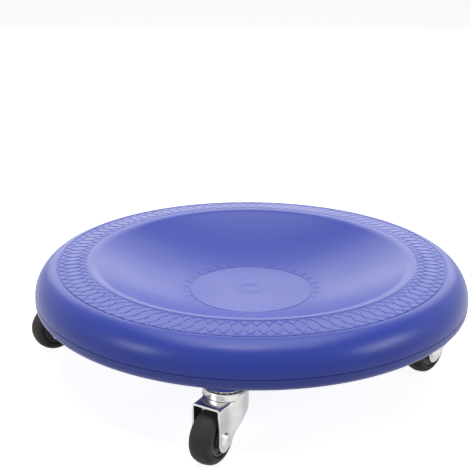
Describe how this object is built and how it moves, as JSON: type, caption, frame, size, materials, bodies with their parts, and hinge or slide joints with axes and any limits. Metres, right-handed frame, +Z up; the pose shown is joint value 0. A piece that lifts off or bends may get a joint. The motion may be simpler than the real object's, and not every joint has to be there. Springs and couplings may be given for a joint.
{
  "type": "rolling work disc",
  "caption": "Round dished rolling disc with a rounded rim, a grip band round the dish and swivel stem casters, for low work beside a vehicle.",
  "frame": {"origin": "on the disc's axis, in the plane of the floor that the wheels stand on", "axes": "+Z up through the dish, -Y towards the front caster, +X towards the right caster"},
  "size_m": [0.2985, 0.3003, 0.0726],
  "materials": {
    "top_shell_plastic": "satin moulded blue plastic",
    "base_shell_plastic": "satin moulded blue plastic",
    "screw_steel": "black zinc",
    "insert_brass": "turned brass",
    "stem_steel": "bright zinc plate",
    "race_steel": "bright zinc plate",
    "ball_steel": "polished bearing steel",
    "fork_zinc": "bright zinc plated pressed sheet",
    "rivet_steel": "bright zinc plate",
    "spacer_plastic": "plain black nylon",
    "tyre_rubber": "matt black rubber",
    "hub_plastic": "dark grey moulded plastic",
    "bush_bronze": "sintered bronze"
  },
  "bodies": {
    "disc": {"top_shell": "top_shell_plastic", "base_shell": "base_shell_plastic", "shell_screws": "screw_steel", "front_stem_insert": "insert_brass", "front_stem": "stem_steel", "front_upper_race": "race_steel", "front_thrust_washer": "race_steel", "right_stem_insert": "insert_brass", "right_stem": "stem_steel", "right_upper_race": "race_steel", "right_thrust_washer": "race_steel", "back_stem_insert": "insert_brass", "back_stem": "stem_steel", "back_upper_race": "race_steel", "back_thrust_washer": "race_steel", "left_stem_insert": "insert_brass", "left_stem": "stem_steel", "left_upper_race": "race_steel", "left_thrust_washer": "race_steel"},
    "front_swivel": {"front_fork": "fork_zinc", "front_race_balls": "ball_steel", "front_axle": "rivet_steel", "front_spacers": "spacer_plastic"},
    "front_wheel": {"front_tyre": "tyre_rubber", "front_hub": "hub_plastic", "front_bush": "bush_bronze"},
    "right_swivel": {"right_fork": "fork_zinc", "right_race_balls": "ball_steel", "right_axle": "rivet_steel", "right_spacers": "spacer_plastic"},
    "right_wheel": {"right_tyre": "tyre_rubber", "right_hub": "hub_plastic", "right_bush": "bush_bronze"},
    "back_swivel": {"back_fork": "fork_zinc", "back_race_balls": "ball_steel", "back_axle": "rivet_steel", "back_spacers": "spacer_plastic"},
    "back_wheel": {"back_tyre": "tyre_rubber", "back_hub": "hub_plastic", "back_bush": "bush_bronze"},
    "left_swivel": {"left_fork": "fork_zinc", "left_race_balls": "ball_steel", "left_axle": "rivet_steel", "left_spacers": "spacer_plastic"},
    "left_wheel": {"left_tyre": "tyre_rubber", "left_hub": "hub_plastic", "left_bush": "bush_bronze"}
  },
  "joints": [
    {"name": "front_swivel_turn", "type": "hinge", "parent": "disc", "child": "front_swivel", "pos_m": [-0.01357, -0.12698, 0.03], "axis": [0, 0, 1], "continuous": true},
    {"name": "front_wheel_roll", "type": "hinge", "parent": "front_swivel", "child": "front_wheel", "pos_m": [-0.02086, -0.13986, 0.016], "axis": [0.8704, -0.4924, 0], "continuous": true},
    {"name": "right_swivel_turn", "type": "hinge", "parent": "disc", "child": "right_swivel", "pos_m": [0.12698, -0.01357, 0.03], "axis": [0, 0, 1], "continuous": true},
    {"name": "right_wheel_roll", "type": "hinge", "parent": "right_swivel", "child": "right_wheel", "pos_m": [0.11651, -0.02404, 0.016], "axis": [0.7071, -0.7071, 0], "continuous": true},
    {"name": "back_swivel_turn", "type": "hinge", "parent": "disc", "child": "back_swivel", "pos_m": [0.01357, 0.12698, 0.03], "axis": [0, 0, 1], "continuous": true},
    {"name": "back_wheel_roll", "type": "hinge", "parent": "back_swivel", "child": "back_wheel", "pos_m": [0.00406, 0.11564, 0.016], "axis": [0.766, -0.6428, 0], "continuous": true},
    {"name": "left_swivel_turn", "type": "hinge", "parent": "disc", "child": "left_swivel", "pos_m": [-0.12698, 0.01357, 0.03], "axis": [0, 0, 1], "continuous": true},
    {"name": "left_wheel_roll", "type": "hinge", "parent": "left_swivel", "child": "left_wheel", "pos_m": [-0.13864, 0.00446, 0.016], "axis": [0.6157, -0.788, 0], "continuous": true}
  ]
}
